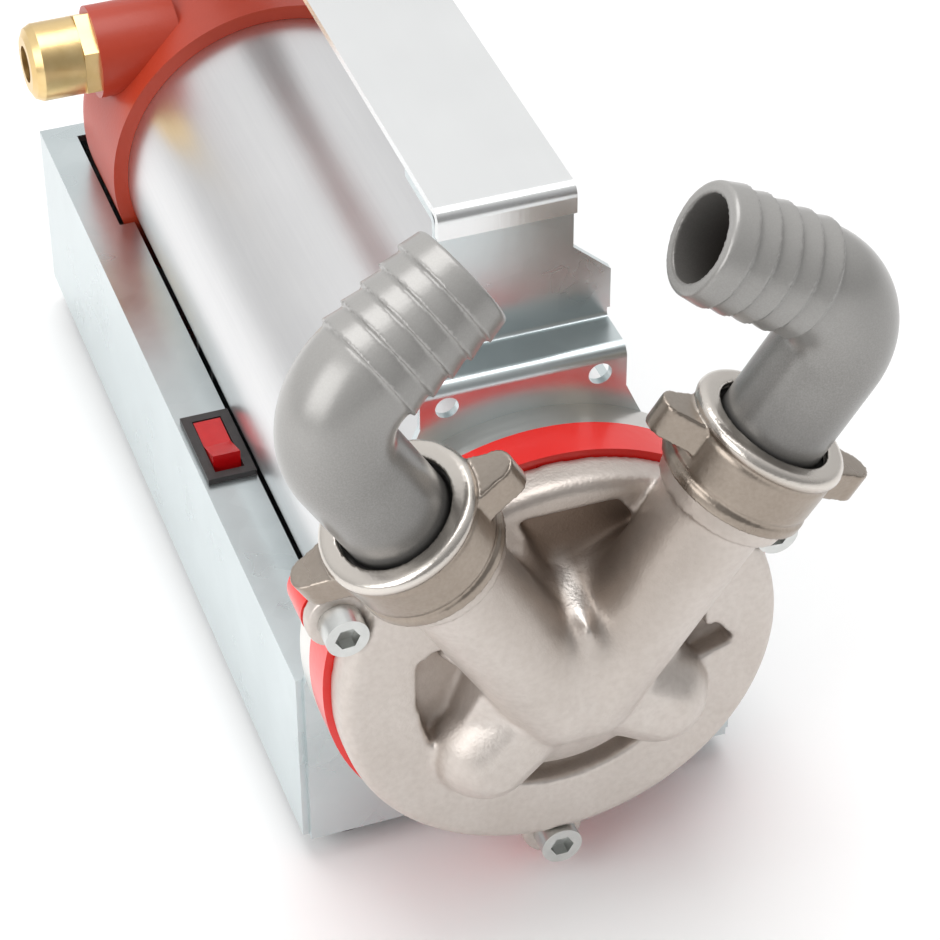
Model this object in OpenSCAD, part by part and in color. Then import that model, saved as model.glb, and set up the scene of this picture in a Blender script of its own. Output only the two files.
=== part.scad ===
/* [Pump housing] */
// Outside radius of the housing rim
rim_r = 52.5; // [50:0.5:56]
// Thickness of the rim along the pump axis
rim_t = 10; // [9:0.5:13]
// How far the rim's front face lies behind the port plane
rim_set = 3; // [2:0.5:4]
// Depth of the round recess in the rim's front face
recess_d = 6; // [5:0.5:6.5]
// Radius of the round recess
recess_r = 34.5; // [33:0.5:36]
// Radius to which the pocket between the ports reaches
pocket_r = 46; // [44:0.5:48]
// Radius of the impeller chamber
chamber_r = 29; // [28:0.5:29.5]
// Length of the impeller chamber along the pump axis
chamber_len = 12.5; // [12:0.5:14]
// Wall between the recess and the impeller chamber
housing_wall = 2.5; // [2:0.5:4]
// Wall of the spigot round the chamber
spigot_wall = 3; // [2.5:0.5:3.5]

/* [Ports] */
// Angle of each port from upright
port_angle = 30; // [27:1:33]
// Angle by which the ports lean forward
port_lean = 6.1; // [0:0.1:7]
// How far below the pump axis the two port axes meet
port_meet_drop = 7.5; // [5:0.5:9]
// Distance from that point to the port's end face
port_len = 79; // [76:1:86]
// Outside radius of the cast port tube
port_r = 12.75; // [12.5:0.25:14]
// Outside radius of the port's thread
thread_r = 15.62; // [15.4:0.02:16]
// Length of the port's thread
thread_len = 9.5; // [8:0.5:11]
// Radius of the bore through port and elbow
bore_r = 9.65; // [8.5:0.05:10]

/* [Union nuts] */
// Height of the nut
nut_h = 17.6; // [16:0.2:20]
// Largest outside radius of the nut
nut_r = 18.5; // [18:0.1:20]
// Radius of the hole that the elbow passes through
nut_hole_r = 13.6; // [13.4:0.1:14]
// Thickness of the nut's inward lip
nut_lip = 2.4; // [2:0.1:3]
// Distance from the nut's axis to a lug's tip
lug_reach = 27; // [25:0.5:30]
// Radius of a lug's rounded tip
lug_r = 4.3; // [4:0.1:5.5]
// Height of a lug
lug_h = 7.5; // [7:0.5:11]

/* [Hose elbows] */
// Outside radius of the elbow's smooth tube
elbow_r = 12.4; // [12:0.1:12.8]
// Radius of the bend's centre line
bend_r = 15; // [14:0.5:18]
// Distance from the port's end face to the hose tail's axis
elbow_rise = 43; // [40:1:50]
// Distance from the port's axis to the hose tail's mouth
tail_len = 43; // [42:0.5:50]
// Largest radius of the barbs
barb_r = 13.5; // [13.1:0.1:14]
// Radius at the foot of each barb
barb_root_r = 12.3; // [12:0.1:12.6]
// Distance from one barb to the next
barb_pitch = 5.3; // [4.6:0.1:5.3]
// Number of barbs on each hose tail
barb_count = 5; // [3:1:5]
// Angle by which the left elbow is turned back from the port plane
left_elbow_turn = 15; // [0:1:20]
// Angle by which the right elbow is turned back from the port plane
right_elbow_turn = 9; // [0:1:20]

/* [Drive end] */
// Outside radius of the red lantern and the flange ring
lantern_r = 54; // [53:0.5:57]
// Width of the lantern's outer ring
lantern_w = 10; // [9:0.5:12]
// Width of the motor flange's outer ring
flange_w = 7; // [6:0.5:9]
// Outside radius of the motor tube
tube_r = 42; // [41:0.5:42.5]
// Wall of the motor tube
tube_wall = 3.5; // [3:0.5:4]
// Length of the motor tube
tube_len = 194; // [180:1:220]
// Outside radius of the end cap
cap_r = 46; // [45:0.5:48]
// Length of the end cap
cap_len = 45; // [42:1:50]
// Wall of the end cap
cap_wall = 2.5; // [2:0.5:3]
// Radius of the shaft in the impeller and the front bearing
shaft_r = 7.5; // [7:0.5:8]

/* [Frame] */
// Height of the pump axis above the floor
axis_h = 70; // [68:1:80]
// Height of the rubber feet
foot_h = 8; // [6:0.5:12]
// Half the width of the base tray
base_half = 55; // [54:0.5:60]
// Height of the base tray
base_h = 50; // [48:0.5:52]
// Thickness of the frame's sheet steel
sheet_t = 2; // [1.5:0.25:2.5]
// Width of the ledges along the tray's top edges
ledge_w = 13.5; // [13.5:0.25:15]
// Half the width of the bracket's lower plate
plate_half = 53.5; // [52:0.5:56]
// Half the width of the bracket's upper panel
panel_half = 24.3; // [23:0.1:28]
// Height of the upper panel above the pump axis
panel_h = 65.5; // [64:0.5:72]
// Depth of the step between the panel and the bracket's neck
step_d = 12.5; // [10:0.5:18]
// Height of the bracket's shoulders above the pump axis
shoulder_h = 78; // [75:1:84]
// Half the width of the handle
handle_half = 16; // [14:0.5:20]
// Height of the handle's top above the pump axis
handle_h = 103.5; // [98:0.5:120]
// Distance between the two holes in the panel
panel_hole_gap = 36; // [30:1:38]
// Radius of the two holes in the panel
panel_hole_r = 2.75; // [2.25:0.05:3]
// Distance between the base's fixing holes across the base
base_hole_x = 70; // [60:1:76]
// Distance between the base's fixing holes along the base
base_hole_y = 150; // [130:1:160]
// Radius of the base's fixing holes
base_hole_r = 3.25; // [2.75:0.05:3.5]

/* [Switch and cable] */
// Length of the switch bezel
switch_len = 26; // [24:0.5:28]
// Width of the switch bezel
switch_w = 12.4; // [11.5:0.1:12.4]
// Distance from the motor flange to the middle of the switch
switch_set = 88; // [70:1:100]
// Radius of the hole through the cable gland
gland_bore_r = 4.5; // [3:0.1:5]
// Radius of the gland's domed nut
gland_r = 10.5; // [9:0.1:11.5]

/* [Hidden] */

// Clearances
slip = 0.05;
run_gap = 0.3;
cut = 1;
fine = 96;
medium = 64;
small = 32;

// Places along the pump axis, counted back from the port plane
rim_y = rim_set;
joint_y = rim_y + rim_t;
floor_y = rim_y + recess_d;
chamber_y = floor_y + housing_wall;
chamber_end = chamber_y + chamber_len;
spigot_r = chamber_r + spigot_wall;
wear_t = 2;
wear_end = chamber_end + wear_t;
flange_y = joint_y + lantern_w;
flange_end = flange_y + flange_w;
plate_y = flange_end;
plate_end = plate_y + sheet_t;
tube_y = plate_end;
tube_end = tube_y + tube_len;
tube_in = tube_r - tube_wall;
cap_y = tube_end - 3 * slip - cap_wall;
cap_end = cap_y + cap_len;

// Heights, counted from the pump axis
floor_z = -axis_h;
tray_z = floor_z + foot_h;
ledge_z = tray_z + base_h;

// Sheet metal bends
bend_in = 1;
bend_out = bend_in + sheet_t;

// Frame along the pump axis
tray_y = plate_end;
leg_gap = 4;
leg_head_h = 2.6;
tray_end = cap_end + leg_gap + sheet_t;
leg_y = tray_end;
frame_end = leg_y + sheet_t;

// The frame's front limit is the nuts' top edges
nut_top = port_len + 2 + 2 * run_gap + 2.3 + nut_lip;
lean_share = cos(port_angle) * sin(port_lean);
front_y = -nut_top * lean_share - nut_r * sqrt(1 - lean_share * lean_share);
mid_y = (front_y + frame_end + leg_head_h) / 2;

// Puts the model's origin on the floor below its middle
module placed() {
    translate([0, -mid_y, axis_h]) children();
}

// Extrudes an outline drawn in X and Z from one depth to another
module slab_y(from, to) {
    translate([0, to, 0]) rotate([90, 0, 0]) linear_extrude(to - from) children();
}

module disc_y(r, from, to) {
    slab_y(from, to) circle(r, $fn = fine);
}

module ring_y(outer, inner, from, to) {
    difference() {
        disc_y(outer, from, to);
        disc_y(inner, from - cut, to + cut);
    }
}

// Turns an outline of radius and depth about the pump axis
module turned_y() {
    rotate([-90, 0, 0]) rotate_extrude($fn = fine) children();
}

// Extrudes an outline drawn in Y and Z across the middle plane
module slab_x(half) {
    translate([-half, 0, 0]) rotate([90, 0, 90]) linear_extrude(2 * half) children();
}

// Places what follows round the pump axis at an angle from the top
module round_axis(angle, r) {
    rotate([0, angle, 0]) translate([0, 0, r]) children();
}

// A port's own frame: Z out along the port, X towards the other port
module left_port() {
    translate([0, 0, -port_meet_drop]) rotate([port_lean, 0, 0]) rotate([0, -port_angle, 0]) children();
}

module right_port() {
    mirror([1, 0, 0]) left_port() children();
}

module both_ports() {
    left_port() children();
    right_port() children();
}

// Housing details
rim_round = 3;
ear_r = 7.5;
ear_t = 4.5;
screw_circle = rim_r + 4;
screw_angles = [64, 180, 296];
screw_r = 3;
screw_head_r = 5;
screw_head_h = 6;
screw_len = 16;
socket_r = 2.9;
socket_d = 3;
port_foot = 6;
window_r = 6;
window_reach = (chamber_r - window_r) * 0.98;
window_angle = 40;
bore_foot = 22;

// The domed front, the lobes beside it and the web between the ports
dome_r = recess_r - 3.5;
dome_front = -9;
dome_edge = 6;
dome_ball_r = (dome_r * dome_r + (dome_edge - dome_front) * (dome_edge - dome_front)) / (2 * (dome_edge - dome_front));
lobe_r = 12.5;
lobe_y = 4;
lobe_front = -7.5;
lobe_angles = [-134, 122];
lobe_from = 8;
lobe_to = recess_r * 0.77;
web_t = 4.5;
web_low = 5;
web_front = -13;
web_top = 25;
web_back_top = 30;
crotch_r = 11.6;
crotch_y = -2.1;
recess_top = 14;
pocket_shares = [[-0.24, 1], [0.26, 1], [0.42, 0.76], [-0.07, 0.57]];
left_pocket_shares = [[-1, 0.36], [-0.6, 0.18], [-0.82, -0.46], [-1.02, -0.04]];
right_pocket_shares = [[0.76, 0.02], [1.08, 0.06], [1.22, -0.12], [0.96, -0.2]];

// A round boss with a rounded front edge
module boss_y(r, from, to, round) {
    turned_y() union() {
        translate([0, from + round]) square([r, to - from - round]);
        translate([0, from]) square([r - round, round + slip]);
        translate([r - round, from + round]) circle(round, $fn = small);
    }
}

module at_screws() {
    for (angle = screw_angles) round_axis(angle, screw_circle) children();
}

module housing_rim() {
    difference() {
        union() {
            difference() {
                boss_y(rim_r, rim_y, joint_y, rim_round);
                intersection() {
                    disc_y(recess_r, rim_y - cut, floor_y);
                    slab_y(rim_y - cut, floor_y) translate([-recess_r, -recess_r]) {
                        square([2 * recess_r, recess_r + recess_top]);
                    }
                }
            }
            front_dome();
        }
        slab_y(dome_front, floor_y) polygon(pocket_shares * pocket_r);
        slab_y(dome_front, floor_y) polygon(left_pocket_shares * recess_r);
        slab_y(dome_front, floor_y) polygon(right_pocket_shares * recess_r);
    }
}

module front_dome() {
    intersection() {
        translate([0, dome_front + dome_ball_r, 0]) sphere(dome_ball_r, $fn = fine);
        disc_y(dome_r, dome_front - cut, floor_y + cut);
    }
}

// A lobe: a capsule with a flat front that runs from the dome over the recess
module lobe() {
    intersection() {
        translate([0, lobe_y, 0]) {
            translate([0, 0, lobe_from]) sphere(lobe_r, $fn = medium);
            translate([0, 0, lobe_from]) cylinder(h = lobe_to - lobe_from, r = lobe_r, $fn = medium);
            translate([0, 0, lobe_to]) sphere(lobe_r, $fn = medium);
        }
        disc_y(rim_r, lobe_front, floor_y + cut);
    }
}

module housing_port() {
    translate([0, 0, port_foot]) sphere(port_r, $fn = medium);
    translate([0, 0, port_foot]) cylinder(h = port_len - thread_len - port_foot, r = port_r, $fn = fine);
    translate([0, 0, port_len - thread_len - port_foot]) {
        cylinder(h = thread_len + port_foot, r = thread_r, $fn = fine);
    }
}

module housing_web() {
    slab_x(web_t / 2) polygon([
        [floor_y + cut, web_low],
        [web_front, web_low],
        [web_front, web_top],
        [rim_y, (web_top + web_back_top) / 2],
        [floor_y + cut, web_back_top]
    ]);
    translate([0, crotch_y, 0]) sphere(crotch_r, $fn = medium);
}

module pump_housing() {
    color([0.74, 0.71, 0.68]) difference() {
        union() {
            housing_rim();
            at_screws() translate([0, 0, -screw_circle]) round_axis(0, screw_circle) {
                disc_y(ear_r, joint_y - ear_t, joint_y);
            }
            disc_y(spigot_r, joint_y - cut, chamber_end);
            both_ports() housing_port();
            for (angle = lobe_angles) rotate([0, angle, 0]) lobe();
            housing_web();
        }
        disc_y(chamber_r, chamber_y, chamber_end + cut);
        both_ports() translate([0, 0, bore_foot]) cylinder(h = port_len, r = bore_r, $fn = fine);
        for (side = [-1, 1]) round_axis(side * window_angle, window_reach) {
            disc_y(window_r, 0, chamber_y + cut);
        }
        at_screws() disc_y(screw_r + slip, joint_y - ear_t - cut, joint_y + cut);
        at_screws() disc_y(screw_head_r + run_gap, rim_y - cut, joint_y - ear_t);
        cam_screw_hole();
    }
}

// O-ring between the housing's spigot and the lantern
o_ring_r = 1.2;
groove_y = joint_y + 5;

module housing_o_ring() {
    color([0.1, 0.1, 0.1]) turned_y() {
        translate([spigot_r + o_ring_r + slip, joint_y + o_ring_r + slip]) circle(o_ring_r - slip, $fn = small);
    }
}

// Cam that squeezes the vanes between the two windows
cam_half_angle = 24;
cam_t = 2.8;
cam_r = chamber_r - cam_t;
cam_screw_r = 2;
cam_screw_y = (chamber_y + chamber_end) / 2;
cam_head_h = 1.4;

module cam_screw_hole() {
    translate([0, cam_screw_y, chamber_r - cam_t]) {
        cylinder(h = spigot_wall + cam_t + cut, r = cam_screw_r + slip, $fn = small);
    }
}

module impeller_cam() {
    color([0.78, 0.76, 0.72]) difference() {
        intersection() {
            ring_y(chamber_r - slip, cam_r, chamber_y + slip, chamber_end - slip);
            slab_y(chamber_y, chamber_end) polygon([
                [0, 0],
                [-chamber_r * tan(cam_half_angle), chamber_r * 1.2],
                [chamber_r * tan(cam_half_angle), chamber_r * 1.2]
            ]);
        }
        cam_screw_hole();
    }
}

module cam_screw() {
    color([0.8, 0.8, 0.8]) translate([0, cam_screw_y, 0]) {
        translate([0, 0, cam_r + cam_t / 4]) {
            cylinder(h = cam_t * 3 / 4 + spigot_wall - slip, r = cam_screw_r, $fn = small);
        }
    }
}

// Wear plate behind the impeller
seal_hole_r = 13.5;

module wear_plate() {
    color([0.8, 0.79, 0.77]) ring_y(spigot_r, seal_hole_r, chamber_end, wear_end);
}

// Lantern: the red ring between the housing and the motor flange
spigot_d = 5;
lantern_spigot_r = 36.5;
lantern_floor = 4;
seat_r = 13;
seat_len = 5;
seat_set = 1;
seat_y = wear_end + lantern_floor + seat_set;
seat_end = seat_y + seat_len;
seat_boss_r = 17;
tap_depth = lantern_w - 1;

module lantern() {
    color([0.85, 0.1, 0.08]) difference() {
        union() {
            disc_y(lantern_r, joint_y, flange_y);
            at_screws() disc_y(ear_r, joint_y, flange_y);
            disc_y(lantern_spigot_r, flange_y - cut, flange_y + spigot_d);
            disc_y(spigot_r + slip, flange_y, wear_end + lantern_floor);
            disc_y(seat_boss_r, wear_end, seat_end + seat_set);
        }
        disc_y(spigot_r + slip, joint_y - cut, wear_end);
        disc_y(spigot_r + 2 * o_ring_r + slip, joint_y - cut, joint_y + 2 * o_ring_r + slip);
        disc_y(seat_r, seat_y, seat_end);
        disc_y(seal_hole_r - 1, wear_end - cut, seat_y + slip);
        disc_y(shaft_r + 2 * seat_set, seat_y, seat_end + seat_set + cut);
        at_screws() disc_y(screw_r + slip, joint_y - cut, joint_y + tap_depth - slip);
    }
}

module seal_seat() {
    color([0.92, 0.9, 0.86]) ring_y(seat_r - slip, shaft_r + run_gap, seat_y + slip, seat_end - slip);
}

module cap_screw_y(r, head_r, head_h, len) {
    difference() {
        union() {
            disc_y(head_r, -head_h, 0);
            disc_y(r, -slip, len);
        }
        slab_y(-head_h - cut, socket_d - head_h) circle(socket_r, $fn = 6);
    }
}

module housing_screws() {
    color([0.8, 0.8, 0.79]) at_screws() translate([0, joint_y - ear_t, 0]) {
        cap_screw_y(screw_r, screw_head_r, screw_head_h, ear_t + tap_depth - 1);
    }
}

// Flat gaskets on the ports' end faces
gasket_t = 2;

module port_gaskets() {
    color([0.15, 0.15, 0.15]) both_ports() translate([0, 0, port_len]) difference() {
        cylinder(h = gasket_t, r = thread_r - 4 * slip, $fn = fine);
        translate([0, 0, -cut]) cylinder(h = gasket_t + 2 * cut, r = bore_r, $fn = fine);
    }
}

// Union nuts
nut_bottom = nut_top - nut_h;
lip_z = nut_top - nut_lip;
nut_taper = 0.7;
nut_foot_r = nut_r - nut_taper;
nut_edge = 1.2;
nut_bead = 2;
lug_drop = 3;

module nut_lug() {
    translate([0, 0, nut_top - lug_drop - lug_h]) linear_extrude(lug_h) {
        translate([lug_reach - lug_r, 0]) circle(lug_r, $fn = small);
        polygon([
            [nut_hole_r + nut_lip, -lug_r * 1.5],
            [lug_reach - lug_r, -lug_r],
            [lug_reach - lug_r, lug_r],
            [nut_hole_r + nut_lip, lug_r * 1.5]
        ]);
    }
}

// Half outline of a nut: a collar, a fine groove, a widening wall and a rounded bead
module nut_outline() {
    polygon([
        [0, nut_bottom],
        [nut_foot_r, nut_bottom],
        [nut_foot_r, nut_bottom + nut_edge * 2],
        [nut_foot_r - nut_edge / 2, nut_bottom + nut_edge * 2.3],
        [nut_foot_r - nut_edge / 2, nut_bottom + nut_edge * 3],
        [nut_foot_r - nut_edge / 6, nut_bottom + nut_edge * 3.4],
        [nut_foot_r, nut_top - nut_bead * 2.4],
        [nut_r - nut_bead, nut_top - nut_bead],
        [nut_r - nut_bead, nut_top],
        [0, nut_top]
    ]);
    translate([nut_r - nut_bead, nut_top - nut_bead]) circle(nut_bead, $fn = small);
}

module union_nut() {
    difference() {
        union() {
            rotate_extrude($fn = fine) nut_outline();
            nut_lug();
            rotate([0, 0, 180]) nut_lug();
        }
        translate([0, 0, nut_bottom - cut]) {
            cylinder(h = nut_h - nut_lip + cut, r = thread_r + 1.6 * slip, $fn = fine);
        }
        cylinder(h = nut_top + cut, r = nut_hole_r, $fn = fine);
    }
}

left_lug_turn = -5;
right_lug_turn = 10;

module left_union_nut() {
    color([0.76, 0.73, 0.7]) left_port() rotate([0, 0, left_lug_turn]) union_nut();
}

module right_union_nut() {
    color([0.76, 0.73, 0.7]) right_port() rotate([0, 0, right_lug_turn]) union_nut();
}

// Hose elbows
elbow_foot = port_len + gasket_t + run_gap;
flange_r = thread_r - 6 * slip;
flange_top = lip_z - run_gap;
tail_z = port_len + elbow_rise;
barb_zone = barb_pitch * (barb_count + 0.1);
tail_root = tail_len - barb_zone;
mouth_r = bore_r + (barb_r - bore_r) * 0.75;
mouth_edge = 0.6;

// Half outline of the barbed tail, from its root to its mouth
module tail_outline() {
    polygon(concat(
        [[0, 0], [elbow_r, 0], [elbow_r, tail_root - bend_r]],
        [for (n = [0 : barb_count - 1], step = [0 : 1])
            [step == 0 ? barb_r : (n == barb_count - 1 ? mouth_r : barb_root_r),
             tail_root - bend_r + (n + step) * barb_pitch + (step == 0 ? slip : 0)]],
        [[mouth_r, tail_len - bend_r - mouth_edge], [mouth_r - mouth_edge, tail_len - bend_r],
         [0, tail_len - bend_r]]
    ));
}

module elbow_body() {
    translate([0, 0, elbow_foot]) cylinder(h = flange_top - elbow_foot, r = flange_r, $fn = fine);
    translate([0, 0, elbow_foot]) cylinder(h = tail_z - bend_r - elbow_foot, r = elbow_r, $fn = fine);
    translate([bend_r, 0, tail_z - bend_r]) rotate([90, 0, 0]) rotate([0, 0, 90]) {
        rotate_extrude(angle = 90, $fn = fine) translate([bend_r, 0]) circle(elbow_r, $fn = medium);
    }
    translate([bend_r, 0, tail_z]) rotate([0, 90, 0]) rotate_extrude($fn = fine) tail_outline();
}

module elbow_bore() {
    translate([0, 0, elbow_foot - cut]) {
        cylinder(h = tail_z - bend_r - elbow_foot + cut, r = bore_r, $fn = fine);
    }
    translate([bend_r, 0, tail_z - bend_r]) rotate([90, 0, 0]) rotate([0, 0, 90]) {
        rotate_extrude(angle = 90, $fn = fine) translate([bend_r, 0]) circle(bore_r, $fn = medium);
    }
    translate([bend_r, 0, tail_z]) rotate([0, 90, 0]) cylinder(h = tail_len, r = bore_r, $fn = fine);
}

module hose_elbow(turn) {
    rotate([0, 0, turn]) difference() {
        elbow_body();
        elbow_bore();
    }
}

module left_hose_elbow() {
    color([0.62, 0.62, 0.61]) left_port() hose_elbow(left_elbow_turn);
}

module right_hose_elbow() {
    color([0.62, 0.62, 0.61]) right_port() hose_elbow(right_elbow_turn);
}

// Motor flange: the bright ring, with the cup that carries the front bearing
cup_r = 33;
front_bearing_r = 17.5;
front_bearing_w = 11;
rear_bearing_r = 16;
rear_bearing_w = 10;
rear_shaft_r = 6;
cup_end = flange_end + 11;
web_d = 3;
front_bearing_y = cup_end + web_d;
hub_wall = 4;
flange_spigot = 14;

module motor_flange() {
    color([0.8, 0.79, 0.77]) difference() {
        union() {
            disc_y(lantern_r, flange_y, flange_end);
            disc_y(tube_in - slip, flange_end - cut, tube_y + flange_spigot);
            disc_y(front_bearing_r + hub_wall, cup_end, front_bearing_y + front_bearing_w);
        }
        disc_y(lantern_spigot_r + slip, flange_y - cut, flange_y + spigot_d + slip);
        disc_y(cup_r, flange_y, cup_end);
        disc_y(front_bearing_r + slip, front_bearing_y, front_bearing_y + front_bearing_w + cut);
        disc_y(front_bearing_r - web_d, cup_end - cut, front_bearing_y + cut);
        difference() {
            disc_y(tube_in - hub_wall, front_bearing_y, front_bearing_y + front_bearing_w);
            disc_y(front_bearing_r + hub_wall, cup_end, front_bearing_y + front_bearing_w + cut);
        }
        at_rods() disc_y(rod_r + slip, cup_end - cut, tube_y + flange_spigot + cut);
    }
}

module motor_tube() {
    color([0.8, 0.8, 0.81]) ring_y(tube_r, tube_in, tube_y, tube_end);
}

// Rear shield with the rear bearing and the cap's screw bosses
shield_y = tube_end;
shield_t = 3;
rear_bearing_y = shield_y - rear_bearing_w - web_d;
cap_screw_circle = 30;

module rear_shield() {
    color([0.8, 0.79, 0.77]) difference() {
        union() {
            disc_y(tube_r, shield_y, shield_y + shield_t);
            disc_y(tube_in - slip, shield_y - rear_bearing_w, shield_y + slip);
            disc_y(rear_bearing_r + hub_wall, rear_bearing_y, shield_y);
        }
        disc_y(rear_bearing_r + slip, rear_bearing_y - cut, rear_bearing_y + rear_bearing_w);
        difference() {
            disc_y(tube_in - hub_wall, shield_y - rear_bearing_w - cut, shield_y);
            disc_y(rear_bearing_r + hub_wall, rear_bearing_y - cut, shield_y + cut);
            at_rods() disc_y(rod_r * 2, shield_y - rear_bearing_w - cut, shield_y + cut);
        }
        at_rods() disc_y(rod_r + slip, rear_bearing_y - cut, shield_y + shield_t + cut);
        at_cap_screws() disc_y(cap_screw_r + slip, shield_y - cut, shield_y + shield_t + cut);
    }
}

// Tie rods that clamp the flange and the rear shield onto the tube
rod_r = 2;
rod_circle = tube_in - 3;
rod_nut_h = 2.4;

module at_rods() {
    for (angle = [45 : 90 : 315]) round_axis(angle, rod_circle) children();
}

module tie_rods() {
    color([0.75, 0.76, 0.78]) at_rods() {
        disc_y(rod_r, cup_end, shield_y + shield_t + rod_nut_h);
        disc_y(rod_r * 1.5, shield_y + shield_t, shield_y + shield_t + rod_nut_h);
    }
}

// Stator and rotor
stack_len = 80;
stack_y = tube_y + (tube_len - stack_len) / 2;
stack_end = stack_y + stack_len;
rotor_r = 22;
air_gap = 0.5;
winding_len = 17;
rotor_shaft_r = shaft_r + 1;
winding_in = rotor_r + 3;
winding_out = rod_circle - rod_r - 1;
slot_count = 24;
slot_w = 2.4;
slot_d = 7;

module stator_core() {
    color([0.45, 0.45, 0.47]) difference() {
        disc_y(tube_in - slip, stack_y, stack_end);
        disc_y(rotor_r + air_gap, stack_y - cut, stack_end + cut);
        for (n = [0 : slot_count - 1]) rotate([0, n * 360 / slot_count, 0]) {
            translate([-slot_w / 2, stack_y - cut, winding_in]) {
                cube([slot_w, stack_len + 2 * cut, slot_d]);
            }
        }
        at_rods() disc_y(rod_r + run_gap, stack_y - cut, stack_end + cut);
    }
}

module end_winding(from, to) {
    round = (winding_out - winding_in) / 4;
    turned_y() translate([winding_in, from]) union() {
        translate([0, round]) square([winding_out - winding_in, to - from - 2 * round]);
        translate([round, 0]) square([winding_out - winding_in - 2 * round, to - from]);
        for (x = [round, winding_out - winding_in - round], y = [round, to - from - round]) {
            translate([x, y]) circle(round, $fn = small);
        }
    }
}

module stator_winding() {
    color([0.72, 0.4, 0.2]) {
        end_winding(stack_y - winding_len, stack_y);
        end_winding(stack_end, stack_end + winding_len);
    }
}

module rotor_core() {
    color([0.42, 0.42, 0.44]) ring_y(rotor_r, rotor_shaft_r + slip, stack_y, stack_end);
}

ring_w = 5;

module rotor_end_rings() {
    color([0.8, 0.8, 0.82]) {
        ring_y(rotor_r - 1, rotor_r * 0.6, stack_y - ring_w, stack_y);
        ring_y(rotor_r - 1, rotor_r * 0.6, stack_end, stack_end + ring_w);
    }
}

// Shaft, stepped for the rear bearing
nose_y = chamber_y + run_gap;
shaft_end = rear_bearing_y + rear_bearing_w;

module shaft() {
    color([0.78, 0.78, 0.8]) difference() {
        union() {
            disc_y(shaft_r, nose_y, rear_bearing_y - web_d);
            disc_y(rotor_shaft_r, stack_y - ring_w * 2, stack_end + ring_w * 2);
            disc_y(rear_shaft_r, rear_bearing_y - web_d - slip, shaft_end);
        }
        translate([-shaft_r, nose_y - cut, shaft_r - 1]) {
            cube([2 * shaft_r, chamber_len - run_gap + cut, shaft_r]);
        }
        ring_y(shaft_r + cut, shaft_r - circlip_d, nose_y + circlip_set, nose_y + circlip_set + circlip_t);
    }
}

circlip_d = 0.6;
circlip_t = 0.8;
circlip_set = 0.7;

module impeller_circlip() {
    color([0.3, 0.3, 0.32]) difference() {
        ring_y(shaft_r + 1, shaft_r - circlip_d, nose_y + circlip_set, nose_y + circlip_set + circlip_t);
        translate([-shaft_r / 4, nose_y, 0]) cube([shaft_r / 2, chamber_len, 2 * shaft_r]);
    }
}

// Impeller: a moulded star of vanes on a keyed hub
hub_r = 11;
impeller_y = nose_y + circlip_set + circlip_t + slip;
impeller_end = chamber_end - run_gap;
vane_count = 10;
vane_t = 3;
vane_tip_r = 2;
vane_reach = cam_r - run_gap;

module impeller_hub() {
    color([0.8, 0.62, 0.3]) difference() {
        disc_y(hub_r, impeller_y, impeller_end);
        difference() {
            disc_y(shaft_r + slip, impeller_y - cut, impeller_end + cut);
            translate([-shaft_r, impeller_y - cut, shaft_r - 1 + slip]) {
                cube([2 * shaft_r, chamber_len + cut, shaft_r]);
            }
        }
    }
}

module impeller_vanes() {
    color([0.12, 0.12, 0.12]) difference() {
        union() {
            disc_y(hub_r + vane_t, impeller_y, impeller_end);
            for (n = [0 : vane_count - 1]) rotate([0, (n + 0.5) * 360 / vane_count, 0]) {
                translate([-vane_t / 2, impeller_y, hub_r + vane_t / 2]) {
                    cube([vane_t, impeller_end - impeller_y, vane_reach - vane_tip_r - hub_r - vane_t / 2]);
                }
                translate([0, 0, vane_reach - vane_tip_r]) disc_y(vane_tip_r, impeller_y, impeller_end);
            }
        }
        disc_y(hub_r, impeller_y - cut, impeller_end + cut);
    }
}

// Mechanical seal's turning half
seal_y = impeller_end + run_gap;
seal_face = seat_y - run_gap + slip;
seal_r = seal_hole_r - 1.5;

module seal_head() {
    color([0.16, 0.16, 0.17]) {
        ring_y(seal_r - 1, shaft_r + slip, seal_y, seal_y + 1.5);
        ring_y(seal_r - 1, shaft_r + slip, seal_face - 2.5, seal_face);
        ring_y(shaft_r + 1, shaft_r + slip, seal_y, seal_face);
    }
}

module seal_spring() {
    color([0.75, 0.75, 0.75]) {
        ring_y(seal_r - 1.2, shaft_r + 1.2, seal_y + 1.5, seal_face - 2.5);
    }
}

module slinger_ring() {
    color([0.1, 0.1, 0.1]) turned_y() polygon([
        [shaft_r + slip, seat_end + seat_set + run_gap],
        [shaft_r + 2, seat_end + seat_set + run_gap],
        [shaft_r + 4, seat_end + 2],
        [shaft_r + 4, seat_end + 3],
        [shaft_r + slip, seat_end + 3]
    ]);
}

// Ball bearings
module races(y, w, outer_r, inner_r, outer) {
    mid = (outer_r + inner_r) / 2;
    ball = (outer_r - inner_r) / 4.4;
    difference() {
        if (outer) ring_y(outer_r, mid + ball * 0.6, y, y + w);
        else ring_y(mid - ball * 0.6, inner_r, y, y + w);
        translate([0, y + w / 2, 0]) rotate([-90, 0, 0]) rotate_extrude($fn = fine) {
            translate([mid, 0]) circle(ball + slip, $fn = small);
        }
    }
}

module bearing_outer_races() {
    color([0.7, 0.71, 0.73]) {
        races(front_bearing_y, front_bearing_w, front_bearing_r, shaft_r, true);
        races(rear_bearing_y, rear_bearing_w, rear_bearing_r, rear_shaft_r, true);
    }
}

module bearing_inner_races() {
    color([0.7, 0.71, 0.73]) {
        races(front_bearing_y, front_bearing_w, front_bearing_r, shaft_r + slip, false);
        races(rear_bearing_y, rear_bearing_w, rear_bearing_r, rear_shaft_r + slip, false);
    }
}

ball_count = 8;

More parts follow.
